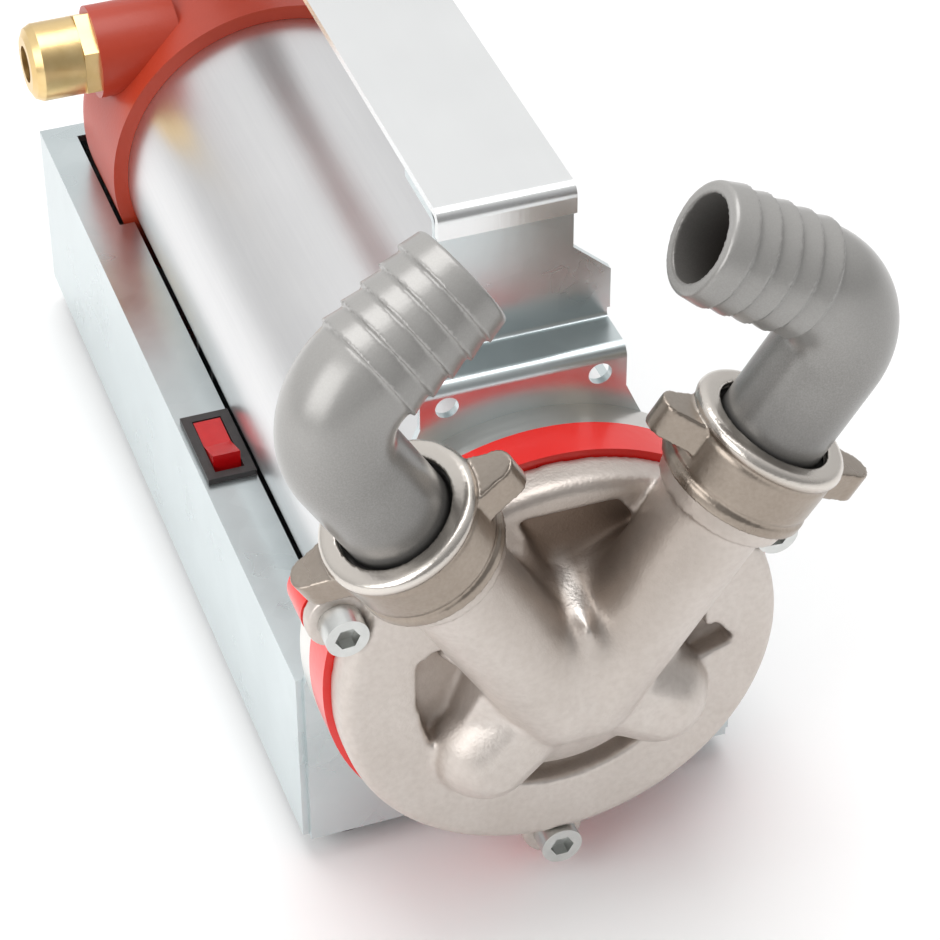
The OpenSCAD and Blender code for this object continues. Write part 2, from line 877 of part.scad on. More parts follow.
module ball_set(y, w, outer_r, inner_r) {
    for (n = [0 : ball_count - 1]) round_axis(n * 360 / ball_count, (outer_r + inner_r) / 2) {
        translate([0, y + w / 2, 0]) sphere((outer_r - inner_r) / 4.4 - slip, $fn = small);
    }
}

module bearing_balls() {
    color([0.85, 0.85, 0.87]) {
        ball_set(front_bearing_y, front_bearing_w, front_bearing_r, shaft_r);
        ball_set(rear_bearing_y, rear_bearing_w, rear_bearing_r, rear_shaft_r);
    }
}

// End cap with its gland boss
cap_screw_r = 2;
cap_head_r = 3.5;
cap_head_h = 2.5;
cap_dome = 14;
gland_set = 19;
gland_y = cap_y + gland_set;
gland_z = 31;
gland_boss_r = 12.5;
gland_x = -45;
gland_stem_r = 8;
cap_step = 5;

module at_cap_screws() {
    for (angle = [0 : 90 : 270]) round_axis(angle, cap_screw_circle) children();
}

module cap_outline(r, len, dome) {
    square([r, len - dome]);
    square([r - dome, len]);
    translate([r - dome, len - dome]) circle(dome, $fn = medium);
}

module gland_axis() {
    translate([gland_x, gland_y, gland_z]) rotate([0, -90, 0]) children();
}

module end_cap() {
    color([0.72, 0.16, 0.05]) difference() {
        union() {
            translate([0, cap_y, 0]) turned_y() cap_outline(cap_r, cap_len, cap_dome);
            gland_axis() translate([0, 0, gland_x / 2]) cylinder(h = -gland_x / 2, r = gland_boss_r, $fn = medium);
        }
        translate([0, cap_y, 0]) turned_y() {
            translate([0, -cut]) square([tube_r + slip, cap_step + 2 * cut]);
            translate([0, cap_step]) {
                cap_outline(cap_r - cap_wall, cap_len - cap_wall - cap_step, cap_dome - cap_wall);
            }
        }
        gland_axis() translate([0, 0, gland_x]) cylinder(h = -gland_x + cut, r = gland_stem_r + slip, $fn = medium);
        at_cap_screws() disc_y(cap_screw_r + slip, cap_end - cap_wall - cut, cap_end + cut);
    }
}

module cap_screws() {
    color([0.8, 0.8, 0.79]) at_cap_screws() {
        disc_y(cap_head_r, cap_end, cap_end + cap_head_h);
        disc_y(cap_screw_r, shield_y, cap_end + slip);
    }
}

// Brass cable gland
gland_hex_r = 12;
gland_hex_h = 4;
gland_dome_h = 14;
gland_stem_h = 12;
gland_wall = 2.2;
gland_seal_len = gland_stem_h / 2 + gland_hex_h + gland_dome_h / 2;

module cable_gland_body() {
    color([0.8, 0.62, 0.3]) gland_axis() difference() {
        union() {
            cylinder(h = gland_hex_h, r = gland_hex_r, $fn = 6);
            translate([0, 0, -gland_stem_h]) {
                cylinder(h = gland_stem_h + slip, r = gland_stem_r, $fn = medium);
            }
            cylinder(h = gland_hex_h + gland_dome_h / 2, r = gland_r - gland_wall, $fn = medium);
        }
        translate([0, 0, -gland_stem_h - cut]) {
            cylinder(h = gland_stem_h + gland_hex_h + gland_dome_h + cut, r = gland_r - 2 * gland_wall, $fn = medium);
        }
    }
}

module cable_gland_nut() {
    color([0.82, 0.65, 0.33]) gland_axis() translate([0, 0, gland_hex_h]) difference() {
        rotate_extrude($fn = medium) polygon([
            [0, slip],
            [gland_r, slip],
            [gland_r, gland_dome_h - 3],
            [gland_r - 1, gland_dome_h - 1],
            [gland_r - 3, gland_dome_h],
            [0, gland_dome_h]
        ]);
        translate([0, 0, -cut]) cylinder(h = gland_dome_h - gland_wall + cut, r = gland_r - gland_wall + slip, $fn = medium);
        cylinder(h = gland_dome_h + cut, r = gland_bore_r + 0.5, $fn = medium);
    }
}

module cable_gland_seal() {
    color([0.12, 0.12, 0.12]) gland_axis() translate([0, 0, -gland_stem_h / 2]) difference() {
        cylinder(h = gland_seal_len, r = gland_r - 2 * gland_wall - slip, $fn = medium);
        translate([0, 0, -cut]) {
            cylinder(h = gland_stem_h + gland_hex_h + gland_dome_h, r = gland_bore_r, $fn = medium);
        }
    }
}

block_w = 30;
block_h = 12;
block_d = 10;

module terminal_block() {
    color([0.85, 0.83, 0.75]) difference() {
        translate([-block_w / 2, shield_y + shield_t, -block_h / 2]) cube([block_w, block_d, block_h]);
        for (n = [-1, 0, 1]) translate([n * block_w / 3.4, shield_y + shield_t + block_d / 2, 0]) {
            rotate([90, 0, 0]) translate([0, 0, -block_d]) cylinder(h = block_d, r = block_h / 6, $fn = small);
        }
    }
}

// Folded front bracket: plate, panel, step and neck
neck_low = shoulder_h + 8;
shoulder_half = panel_half + 0.7;
neck_y = plate_y + step_d;
handle_t = sheet_t;
bracket_top = handle_h - handle_t;
flap_len = 18;
plate_top_share = 0.2;
bracket_hole_r = tube_in + 2 * slip;
tab_r = 3;

// Outline of a sheet with rounded bends that follows a list of corners given in Y and Z
function unit(v) = v / norm(v);

module bent_sheet(corners, t) {
    last = len(corners) - 1;
    mid = [t / 2, t / 2];
    reach = bend_in + t / 2;
    for (n = [0 : last - 1]) {
        d = unit(corners[n + 1] - corners[n]);
        a = corners[n] + mid + (n == 0 ? -t / 2 : reach) * d;
        b = corners[n + 1] + mid + (n == last - 1 ? t / 2 : -reach) * d;
        side = [d[1], d[0]] * t / 2;
        low = [min(a[0], b[0]) - abs(side[0]), min(a[1], b[1]) - abs(side[1])];
        high = [max(a[0], b[0]) + abs(side[0]), max(a[1], b[1]) + abs(side[1])];
        translate(low) square(high - low);
    }
    for (n = [1 : last - 1]) {
        back = unit(corners[n - 1] - corners[n]);
        ahead = unit(corners[n + 1] - corners[n]);
        hub = corners[n] + mid + (back + ahead) * reach;
        far = hub - (back + ahead) * bend_out;
        low = [min(hub[0], far[0]), min(hub[1], far[1])];
        high = [max(hub[0], far[0]), max(hub[1], far[1])];
        intersection() {
            translate(hub) difference() {
                circle(bend_out, $fn = small);
                circle(bend_in, $fn = small);
            }
            translate(low) square(high - low);
        }
    }
}

module bracket_front_outline() {
    polygon([
        [-plate_half, tray_z],
        [plate_half, tray_z],
        [plate_half, ledge_z],
        [panel_half, panel_h - lantern_r * plate_top_share],
        [panel_half, panel_h + sheet_t],
        [shoulder_half, panel_h + sheet_t],
        [shoulder_half, shoulder_h],
        [handle_half, neck_low],
        [handle_half, bracket_top],
        [-handle_half, bracket_top],
        [-handle_half, neck_low],
        [-shoulder_half, shoulder_h],
        [-shoulder_half, panel_h + sheet_t],
        [-panel_half, panel_h + sheet_t],
        [-panel_half, panel_h - lantern_r * plate_top_share],
        [-plate_half, ledge_z]
    ]);
}

module front_bracket() {
    color([0.75, 0.78, 0.8]) difference() {
        intersection() {
            slab_x(base_half) bent_sheet([
                [plate_y, tray_z],
                [plate_y, panel_h - sheet_t],
                [neck_y, panel_h - sheet_t],
                [neck_y, bracket_top - sheet_t],
                [neck_y + flap_len, bracket_top - sheet_t]
            ], sheet_t);
            slab_y(plate_y - cut, neck_y + flap_len + base_half) bracket_front_outline();
        }
        disc_y(bracket_hole_r, plate_y - cut, plate_end + cut);
        for (side = [-1, 1]) translate([side * panel_hole_gap / 2, 0, panel_hole_z]) {
            disc_y(panel_hole_r, plate_y - cut, plate_end + cut);
        }
        at_tray_screws() disc_y(tray_screw_r + slip, plate_y - cut, plate_end + cut);
    }
}

panel_hole_drop = 6;
panel_hole_z = panel_h - panel_hole_drop;

// Handle strap, over the motor and down behind it
lip_h = 5;
strap_y = neck_y - handle_t - slip;
strap_screw_z = tray_z + base_h / 2;
strap_screw_x = 9;
leg_screw_r = 2.5;
leg_head_r = 4.5;

module at_leg_screws() {
    for (side = [-1, 1]) translate([side * strap_screw_x, 0, strap_screw_z]) children();
}

module handle_strap() {
    color([0.82, 0.83, 0.83]) difference() {
        slab_x(handle_half) bent_sheet([
            [strap_y, handle_h - handle_t - lip_h],
            [strap_y, handle_h - handle_t],
            [leg_y, handle_h - handle_t],
            [leg_y, tray_z + base_h / 4]
        ], handle_t);
        at_leg_screws() disc_y(leg_screw_r + slip, leg_y - cut, frame_end + cut);
    }
}

module handle_screws() {
    color([0.8, 0.8, 0.79]) at_leg_screws() {
        disc_y(leg_screw_r, tray_end - sheet_t - leg_gap, frame_end + slip);
        translate([0, frame_end, 0]) mirror([0, 1, 0]) disc_y(leg_head_r, -leg_head_h, 0);
    }
}

// Base tray with inward ledges and a rear wall
tray_screw_r = 2.5;
tray_screw_x = 30;
tray_screw_rise = 10;
tray_screw_z = tray_z + tray_screw_rise;
tray_nut_h = 4;
flap_h = 18;

module at_tray_screws() {
    for (side = [-1, 1]) translate([side * tray_screw_x, 0, tray_screw_z]) children();
}

module tray_section() {
    difference() {
        translate([-base_half, tray_z]) square([2 * base_half, base_h]);
        translate([-base_half + sheet_t, tray_z + sheet_t]) {
            square([2 * (base_half - sheet_t), base_h - 2 * sheet_t]);
        }
        translate([-base_half + ledge_w, tray_z + sheet_t]) square([2 * (base_half - ledge_w), base_h]);
    }
}

module base_tray() {
    color([0.7, 0.73, 0.75]) difference() {
        union() {
            slab_y(tray_y, tray_end) tray_section();
            slab_y(tray_y, tray_y + sheet_t) translate([-base_half, tray_z]) square([2 * base_half, flap_h]);
            slab_y(tray_end - sheet_t, tray_end) {
                translate([-base_half, tray_z]) square([2 * base_half, base_h]);
            }
        }
        disc_y(cap_r + bezel_lap, cap_y - bezel_lap, cap_end);
        at_tray_screws() disc_y(tray_screw_r + slip, tray_y - cut, tray_y + sheet_t + cut);
        at_leg_screws() disc_y(leg_screw_r + slip, tray_end - sheet_t - cut, tray_end + cut);
        at_base_holes() cylinder(h = sheet_t + 2 * cut, r = base_hole_r, $fn = medium);
        at_feet() cylinder(h = sheet_t + 2 * cut, r = foot_screw_r + slip, $fn = small);
        translate([switch_x, switch_y, ledge_z - sheet_t / 2]) {
            cube([switch_w - 2 * bezel_lap, switch_len - 2 * bezel_lap, sheet_t + 2 * cut], center = true);
        }
    }
}

module tray_screws() {
    color([0.8, 0.8, 0.79]) at_tray_screws() {
        disc_y(leg_head_r, plate_y - leg_head_h, plate_y);
        disc_y(tray_screw_r, plate_y - slip, tray_y + sheet_t + tray_nut_h);
        disc_y(tray_screw_r * 1.7, tray_y + sheet_t, tray_y + sheet_t + tray_nut_h);
    }
}

tray_mid = (tray_y + tray_end) / 2;

module at_base_holes() {
    for (x = [-1, 1], y = [-1, 1]) {
        translate([x * base_hole_x / 2, tray_mid + y * base_hole_y / 2, tray_z - cut]) children();
    }
}

foot_r = 9;
foot_screw_r = 2;
foot_inset = 13;

module at_feet() {
    for (x = [-1, 1], y = [tray_y + foot_inset, tray_end - foot_inset]) {
        translate([x * (base_half - foot_inset), y, tray_z - cut]) children();
    }
}

foot_well = 4;
foot_screw_head = 2;
foot_nut_h = 3;
foot_tread_r = foot_r * 0.85;
foot_well_r = foot_screw_r * 2.5;

module rubber_feet() {
    color([0.12, 0.12, 0.12]) at_feet() translate([0, 0, cut - foot_h]) difference() {
        cylinder(h = foot_h, r1 = foot_tread_r, r2 = foot_r, $fn = medium);
        translate([0, 0, -cut]) cylinder(h = foot_well + cut, r = foot_well_r, $fn = small);
        cylinder(h = foot_h + cut, r = foot_screw_r + slip, $fn = small);
    }
}

module foot_screws() {
    color([0.8, 0.8, 0.79]) at_feet() translate([0, 0, cut - foot_h + foot_well - foot_screw_head]) {
        cylinder(h = foot_screw_head, r = foot_screw_r * 2, $fn = small);
        cylinder(h = foot_h - foot_well + foot_screw_head + sheet_t + foot_nut_h * 1.3, r = foot_screw_r, $fn = small);
        translate([0, 0, foot_h - foot_well + foot_screw_head + sheet_t]) {
            cylinder(h = foot_nut_h, r = foot_screw_r * 2, $fn = 6);
        }
    }
}

// Saddle under the rear of the motor tube
saddle_y = tube_end - 34;
saddle_w = 16;
saddle_half = 30;

module motor_saddle() {
    color([0.7, 0.73, 0.75]) difference() {
        union() {
            slab_y(saddle_y, saddle_y + sheet_t) saddle_outline();
            slab_y(saddle_y + saddle_w - sheet_t, saddle_y + saddle_w) saddle_outline();
            slab_y(saddle_y, saddle_y + saddle_w) {
                translate([-saddle_half, tray_z + sheet_t]) square([2 * saddle_half, sheet_t]);
            }
        }
        disc_y(tube_r + slip, saddle_y - cut, saddle_y + saddle_w + cut);
    }
}

module saddle_outline() {
    translate([-saddle_half, tray_z + sheet_t]) square([2 * saddle_half, tube_r - saddle_half / 2]);
}

// Run capacitor in the tray's right corner
capacitor_gap = 1;
corner_x = base_half - 2 * sheet_t;
corner_z = -tray_z - 2 * sheet_t;
clear_r = tube_r + capacitor_gap + sheet_t;
corner_sum = corner_x + corner_z + clear_r;
capacitor_r = corner_sum - sqrt(corner_sum * corner_sum - corner_x * corner_x - corner_z * corner_z + clear_r * clear_r);
capacitor_share = 0.32;
capacitor_len = tube_len * capacitor_share;
capacitor_set_share = 0.27;
capacitor_y = tube_y + tube_len * capacitor_set_share;
capacitor_step = 3;
clip_set_share = 0.33;
clip_y = capacitor_y + capacitor_len * clip_set_share;
spade_len = 10;
spade_w = 6;
spade_t = 0.8;
capacitor_x = base_half - sheet_t - capacitor_r - sheet_t;
capacitor_z = tray_z + sheet_t + capacitor_r + sheet_t;

module at_capacitor() {
    translate([capacitor_x, 0, capacitor_z]) children();
}

module capacitor() {
    color([0.88, 0.88, 0.86]) at_capacitor() {
        disc_y(capacitor_r, capacitor_y, capacitor_y + capacitor_len);
        disc_y(capacitor_r * 0.8, capacitor_y + capacitor_len, capacitor_y + capacitor_len + capacitor_step);
        for (side = [-1, 1]) translate([side * capacitor_r / 3, 0, 0]) {
            slab_y(capacitor_y + capacitor_len, capacitor_y + capacitor_len + spade_len) {
                square([spade_t, spade_w], center = true);
            }
        }
    }
}

clip_w = 14;

module capacitor_clip() {
    color([0.7, 0.73, 0.75]) difference() {
        at_capacitor() union() {
            disc_y(capacitor_r + sheet_t - slip, clip_y, clip_y + clip_w);
            slab_y(clip_y, clip_y + clip_w) {
                translate([-capacitor_r - sheet_t, -capacitor_r - sheet_t]) square([capacitor_r, sheet_t * 2]);
            }
        }
        at_capacitor() disc_y(capacitor_r + slip, capacitor_y, capacitor_y + capacitor_len);
        at_capacitor() translate([-capacitor_r / 2, capacitor_y, 0]) {
            cube([capacitor_r, capacitor_len, capacitor_r * 2]);
        }
    }
}

// Rocker switch in the left ledge
bezel_lap = 1.2;
bezel_t = 1.6;
bezel_wall = 1.2;
switch_y = tube_y + switch_set;
switch_x = -base_half + sheet_t + run_gap + switch_w / 2 - bezel_lap;
switch_depth = 16;
rocker_w = switch_w - 2 * bezel_lap - 2 * bezel_wall - 2 * run_gap;
rocker_len = switch_len - 2 * bezel_lap - 2 * bezel_wall - 2 * run_gap;
rocker_r = rocker_len;
rocker_tilt = 10;
rocker_swing = 2 * rocker_tilt;
pin_r = 1.2;
pivot_z = -3;

module at_switch() {
    translate([switch_x, switch_y, ledge_z]) children();
}

module switch_bezel() {
    body_w = switch_w - 2 * bezel_lap - 2 * slip;
    body_len = switch_len - 2 * bezel_lap - 2 * slip;
    color([0.06, 0.06, 0.06]) at_switch() difference() {
        union() {
            translate([-switch_w / 2, -switch_len / 2, 0]) cube([switch_w, switch_len, bezel_t]);
            translate([-body_w / 2, -body_len / 2, -switch_depth]) {
                cube([body_w, body_len, switch_depth + slip]);
            }
        }
        translate([-body_w / 2 + bezel_wall, -body_len / 2 + bezel_wall, -switch_depth + bezel_wall]) {
            cube([body_w - 2 * bezel_wall, body_len - 2 * bezel_wall, switch_depth + bezel_t + cut]);
        }
        translate([-switch_w, 0, pivot_z]) rotate([0, 90, 0]) {
            cylinder(h = 2 * switch_w, r = pin_r + slip, $fn = small);
        }
    }
}

// Rocker: two flat wings that meet above the pivot pin
module switch_rocker() {
    color([0.75, 0.03, 0.03]) at_switch() translate([0, 0, pivot_z]) rotate([-rocker_tilt, 0, 0]) {
        slab_x(rocker_w / 2) polygon([
            [-rocker_len / 2 + 1, -pivot_z + bezel_t + 1.5],
            [0, -pivot_z + bezel_t - 0.5],
            [rocker_len / 2 - 1, -pivot_z + bezel_t + 1.5],
            [rocker_len / 2 - 2, -1],
            [2, -4],
            [-2, -4],
            [-rocker_len / 2 + 2, -1]
        ]);
        translate([-switch_w / 2 + bezel_lap + slip, 0, 0]) rotate([0, 90, 0]) {
            cylinder(h = switch_w - 2 * bezel_lap - 2 * slip, r = pin_r, $fn = small);
        }
    }
}

module switch_terminals() {
    color([0.82, 0.65, 0.33]) at_switch() for (n = [-1, 0, 1]) {
        translate([-2.4, n * 6 - 0.4, -switch_depth - 6]) cube([4.8, 0.8, 6]);
    }
}

placed() pump_housing();
placed() housing_o_ring();
placed() impeller_cam();
placed() cam_screw();
placed() wear_plate();
placed() lantern();
placed() seal_seat();
placed() housing_screws();
placed() port_gaskets();
placed() motor_flange();
placed() motor_tube();
placed() rear_shield();
placed() tie_rods();
placed() stator_core();
placed() stator_winding();
placed() bearing_outer_races();
placed() terminal_block();
placed() end_cap();
placed() cap_screws();
placed() cable_gland_body();
placed() cable_gland_nut();
placed() cable_gland_seal();
placed() front_bracket();
placed() handle_strap();
placed() handle_screws();
placed() base_tray();
placed() tray_screws();
placed() motor_saddle();
placed() capacitor();
placed() capacitor_clip();
placed() rubber_feet();
placed() foot_screws();
placed() switch_bezel();
placed() switch_rocker();
placed() switch_terminals();
placed() shaft();
placed() impeller_hub();
placed() impeller_vanes();
placed() impeller_circlip();
placed() seal_head();
placed() seal_spring();
placed() slinger_ring();
placed() bearing_inner_races();
placed() bearing_balls();
placed() rotor_core();
placed() rotor_end_rings();
placed() left_union_nut();
placed() right_union_nut();
placed() left_hose_elbow();
placed() right_hose_elbow();
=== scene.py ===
import bpy
from mathutils import Matrix, Vector


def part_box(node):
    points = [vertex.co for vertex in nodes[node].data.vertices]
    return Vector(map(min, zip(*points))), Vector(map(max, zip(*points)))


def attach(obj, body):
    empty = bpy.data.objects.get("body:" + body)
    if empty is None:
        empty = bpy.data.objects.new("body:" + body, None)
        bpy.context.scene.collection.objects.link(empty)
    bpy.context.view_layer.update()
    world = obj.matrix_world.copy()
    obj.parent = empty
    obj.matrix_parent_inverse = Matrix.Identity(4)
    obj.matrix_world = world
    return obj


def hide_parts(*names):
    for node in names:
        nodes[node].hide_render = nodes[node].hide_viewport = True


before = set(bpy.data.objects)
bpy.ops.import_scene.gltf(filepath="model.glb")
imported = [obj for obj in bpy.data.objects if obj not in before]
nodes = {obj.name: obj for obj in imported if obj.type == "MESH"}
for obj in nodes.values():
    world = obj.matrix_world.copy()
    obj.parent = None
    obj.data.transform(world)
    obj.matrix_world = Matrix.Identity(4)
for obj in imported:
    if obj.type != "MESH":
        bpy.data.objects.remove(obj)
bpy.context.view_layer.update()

# Camera
# A long lens looks down on the pump's front left corner, as in the photograph.
camera_place = (-0.20733, -0.65129, 0.590732)
camera_right = Vector((0.942208, -0.334986, -0.005427))
camera_down = Vector((-0.215842, -0.594547, -0.774549))
camera_forward = Vector((0.256237, 0.730957, -0.632491))
camera_turn = Matrix((camera_right, -camera_down, -camera_forward)).transposed().to_4x4()

camera = bpy.data.objects.new("camera", bpy.data.cameras.new("camera"))
bpy.context.collection.objects.link(camera)
camera.matrix_world = Matrix.Translation(camera_place) @ camera_turn
camera.data.sensor_width = 36
camera.data.lens = 130.46
camera.data.clip_start = 0.01
camera.data.clip_end = 20
bpy.context.scene.camera = camera
bpy.context.scene.view_settings.view_transform = "Standard"


# Pump housing
# One stainless casting, shot-blasted after casting: a dull warm grey with fine pits. Painted shade
# darkens the pockets, the groove, the hollow between the ports and the side of each port that
# faces the other, and a painted highlight runs down the web between the ports. Three screws hold
# the housing.
axis_z = (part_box("motor_tube")[0][2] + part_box("motor_tube")[1][2]) / 2
# The front plane in which the axes of the two ports meet, their meeting point, and the way that
# a port leans: outwards, forwards and up
port_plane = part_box("wear_plate")[0][1] - 0.024
ports_meet = Vector((0, port_plane, 0.0625))
port_lean = Vector((0.5, -0.0920, 0.8611)).normalized()
housing_voxel = 0.0008
housing_passes = 11
# Where a patch of colour starts and is full, in metres from the port plane, the pump's axis, the
# middle plane or along a port
pocket_depths = (0.0036, 0.0085)
recess_radii = (0.045, 0.0475)
valley_depths = (-0.013, -0.002)
valley_widths = (0.010, 0.021)
valley_feet = (0.006, 0.018)
valley_tops = (0.045, 0.055)
flank_sides = (-0.011, 0.003)
flank_backs = (0.002, 0.004)
flank_feet = (0.012, 0.03)
web_widths = (0.0006, 0.0030)
web_depths = (-0.013, -0.006)
web_feet = (0.008, 0.014)
web_tops = (0.027, 0.034)
blasted = ((0.55, 0.495, 0.45), (0.73, 0.68, 0.64))
pit_brown = (0.42, 0.36, 0.32)
valley_shade = (0.34, 0.27, 0.22)
flank_shade = (0.34, 0.28, 0.235)
pocket_shade = (0.24, 0.17, 0.125)
painted_web_highlight = (0.90, 0.86, 0.82)
pit_height = 0.00008


class Sock:
    """A shader socket that adds Math nodes when it is used in an expression."""

    def __init__(self, tree, out):
        self.tree = tree
        self.out = out

    def node(self, kind, settings=None, **inputs):
        """Any other node. An input is given by its name, or by its number as i0, i1 and so on."""
        made = self.tree.nodes.new(kind)
        for name, value in (settings or {}).items():
            setattr(made, name, value)
        for name, value in inputs.items():
            key = int(name[1:]) if name[1:].isdigit() else name
            if isinstance(value, Sock):
                self.tree.links.new(value.out, made.inputs[key])
            else:
                made.inputs[key].default_value = value
        return made

    def math(self, operation, a, b=0.0):
        made = self.node("ShaderNodeMath", {"operation": operation}, i0=a, i1=b)
        return Sock(self.tree, made.outputs[0])

    def __add__(self, other):
        return self.math("ADD", self, other)

    def __radd__(self, other):
        return self.math("ADD", other, self)

    def __sub__(self, other):
        return self.math("SUBTRACT", self, other)

    def __rsub__(self, other):
        return self.math("SUBTRACT", other, self)

    def __mul__(self, other):
        return self.math("MULTIPLY", self, other)

    def __truediv__(self, other):
        return self.math("DIVIDE", self, other)

    def size(self):
        return self.math("ABSOLUTE", self)

    def root(self):
        return self.math("SQRT", self)

    def wave(self):
        """A sine wave between 0 and 1."""
        return self.math("SINE", self) * 0.5 + 0.5

    def clamp(self):
        return Sock(self.tree, self.node("ShaderNodeClamp", Value=self).outputs[0])

    def ramp(self, low, high):
        """0 below low, 1 above high, even between them."""
        return ((self - low) / (high - low)).clamp()

    def parts(self):
        """The x, y and z of a vector."""
        split = self.node("ShaderNodeSeparateXYZ", Vector=self)
        return [Sock(self.tree, out) for out in split.outputs]

    def grain(self, size, detail=2.0, stretch=(1, 1, 1)):
        """Noise from 0 to 1 whose grains are about this many metres across."""
        scaled = self.node("ShaderNodeVectorMath", {"operation": "MULTIPLY"}, i0=self, i1=stretch)
        place = Sock(self.tree, scaled.outputs[0])
        made = self.node("ShaderNodeTexNoise", Vector=place, Scale=1 / size, Detail=detail)
        return Sock(self.tree, made.outputs["Fac"])

    def mix(self, low, high):
        """A colour between two colours, with this socket as the factor."""
        low, high = (c if isinstance(c, Sock) else (*c, 1) for c in (low, high))
        made = self.node("ShaderNodeMix", {"data_type": "RGBA"}, i0=self, i6=low, i7=high)
        return Sock(self.tree, made.outputs[2])


def material(name, build, metal=0.0, coat=0.0):
    """A material whose build function gets the object coordinates, and x, y and z apart.

    It returns the colour, the roughness, the pattern of the bumps and their height in metres.
    """
    made = bpy.data.materials.new(name)
    made.use_nodes = True
    tree = made.node_tree
    shader = tree.nodes["Principled BSDF"]
    place = Sock(tree, tree.nodes.new("ShaderNodeTexCoord").outputs["Object"])
    color, rough, pattern, bump_height = build(place, *place.parts())
    bump = place.node("ShaderNodeBump", Height=pattern, Distance=bump_height, Strength=1.0)
    tree.links.new(color.out, shader.inputs["Base Color"])
    tree.links.new(rough.out, shader.inputs["Roughness"])
    tree.links.new(bump.outputs["Normal"], shader.inputs["Normal"])
    shader.inputs["Metallic"].default_value = metal
    shader.inputs["Coat Weight"].default_value = coat
    shader.inputs["Coat Roughness"].default_value = 0.22
    return made


def paint(thing, made):
    thing.data.materials.clear()
    thing.data.materials.append(made)


def select_only(piece):
    bpy.ops.object.select_all(action="DESELECT")
    bpy.context.view_layer.objects.active = piece
    piece.select_set(True)


def remeshed(node, name, voxel, passes, body):
    """A piece that stands for a CAD node: its closed surface again, with softened edges."""
    piece = nodes[node].copy()
    piece.data = nodes[node].data.copy()
    piece.name = name
    piece.data.name = name
    bpy.context.collection.objects.link(piece)
    select_only(piece)
    weld = piece.modifiers.new("weld", "WELD")
    weld.merge_threshold = 0.000002
    remesh = piece.modifiers.new("remesh", "REMESH")
    remesh.mode = "VOXEL"
    remesh.voxel_size = voxel
    remesh.use_smooth_shade = True
    smooth = piece.modifiers.new("smooth", "SMOOTH")
    smooth.factor = 0.5
    smooth.iterations = passes
    for modifier in ("weld", "remesh", "smooth"):
        bpy.ops.object.modifier_apply(modifier=modifier)
    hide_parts(node)
    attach(piece, body)
    return piece


def along_port(x, y, z):
    """The distance along a port's axis from the point where both axes meet."""
    out, back, up = x.size(), y - ports_meet.y, z - ports_meet.z
    return out * port_lean.x + back * port_lean.y + up * port_lean.z


def cast_steel(place, x, y, z):
    back = y - port_plane
    height = z - axis_z
    radius = (x * x + height * height).root()
    # Blasted metal, with brown left in its coarser pits
    patch = place.grain(0.02, 3.0)
    specks = place.grain(0.0016, 2.0).ramp(0.35, 0.7)
    metal = (specks * 0.2).mix(patch.mix(*blasted), pit_brown)
    # Painted shade in the hollow between the ports
    hollow = back.ramp(*valley_depths) * (1 - x.size().ramp(*valley_widths))
    valley = hollow * height.ramp(*valley_feet) * (1 - height.ramp(*valley_tops))
    metal = (valley * 0.5).mix(metal, valley_shade)
    # Painted shade on the side of each port that faces the other
    beside = x.size() * port_lean.z - (z - ports_meet.z) * port_lean.x
    flank = (1 - beside.ramp(*flank_sides)) * (1 - back.ramp(*flank_backs))
    flank = flank * along_port(x, y, z).ramp(*flank_feet)
    metal = (flank * 0.55).mix(metal, flank_shade)
    # A painted highlight down the web
    web = (1 - x.size().ramp(*web_widths)) * back.ramp(*web_depths)
    web = web * height.ramp(*web_feet) * (1 - height.ramp(*web_tops))
    metal = (web * 0.75).mix(metal, painted_web_highlight)
    # Painted shade in the pockets and the groove, darkest in the upper pocket
    pocket = back.ramp(*pocket_depths) * (1 - radius.ramp(*recess_radii))
    metal = (pocket * (height.ramp(0.0, 0.03) * 0.52 + 0.33)).mix(metal, pocket_shade)
    rough = 0.40 + patch * 0.1 + pocket * 0.12 - web * 0.15
    pits = place.grain(0.0007, 2.0) + place.grain(0.005, 2.0)
    return metal, rough, pits, pit_height


housing = remeshed(
    "pump_housing", "housing_casting", housing_voxel, housing_passes, "frame"
)
paint(housing, material("cast_stainless", cast_steel, metal=0.85))

# The sand core between the ports left wide fillets beside the web.
crotch = Vector((0, port_plane + 0.001, axis_z + 0.021))
fillet_reach = 0.022
fillet_fade = 2.5
fillet = housing.vertex_groups.new(name="fillet")
for vertex in housing.data.vertices:
    near = 1 - (vertex.co - crotch).length / fillet_reach
    if near > 0:
        fillet.add([vertex.index], min(1, fillet_fade * near), "REPLACE")
soften = housing.modifiers.new("soften", "SMOOTH")
soften.vertex_group = "fillet"
soften.factor = 0.5
soften.iterations = 170
select_only(housing)
bpy.ops.object.modifier_apply(modifier="soften")


# Union nuts
# Investment castings like the housing, with finer grain and a painted highlight on the bead
# round the top. Each turns on its port's thread.
nut_voxel = 0.00042
nut_passes = 5
nut_cast = ((0.22, 0.18, 0.145), (0.43, 0.37, 0.315))
painted_bead_highlight = (0.80, 0.76, 0.71)
bead_start = (0.0830, 0.0848)
nut_pit_height = 0.00003


def nut_steel(place, x, y, z):
    patch = place.grain(0.012, 3.0)
    fine = place.grain(0.0009, 2.0)
    # A painted highlight on the bead round the top
    bead = along_port(x, y, z).ramp(*bead_start)
    color = (bead * 0.7).mix((patch * 0.6 + fine * 0.4).mix(*nut_cast), painted_bead_highlight)
    rough = 0.22 + patch * 0.14 - bead * 0.05
    pits = place.grain(0.0006, 2.0) + place.grain(0.003, 1.0)
    return color, rough, pits, nut_pit_height


nut_finish = material("cast_nut", nut_steel, metal=0.95)
for side in ("left", "right"):
    nut = remeshed(
        side + "_union_nut", side + "_nut_casting", nut_voxel, nut_passes, side + "_nut",
    )
    paint(nut, nut_finish)
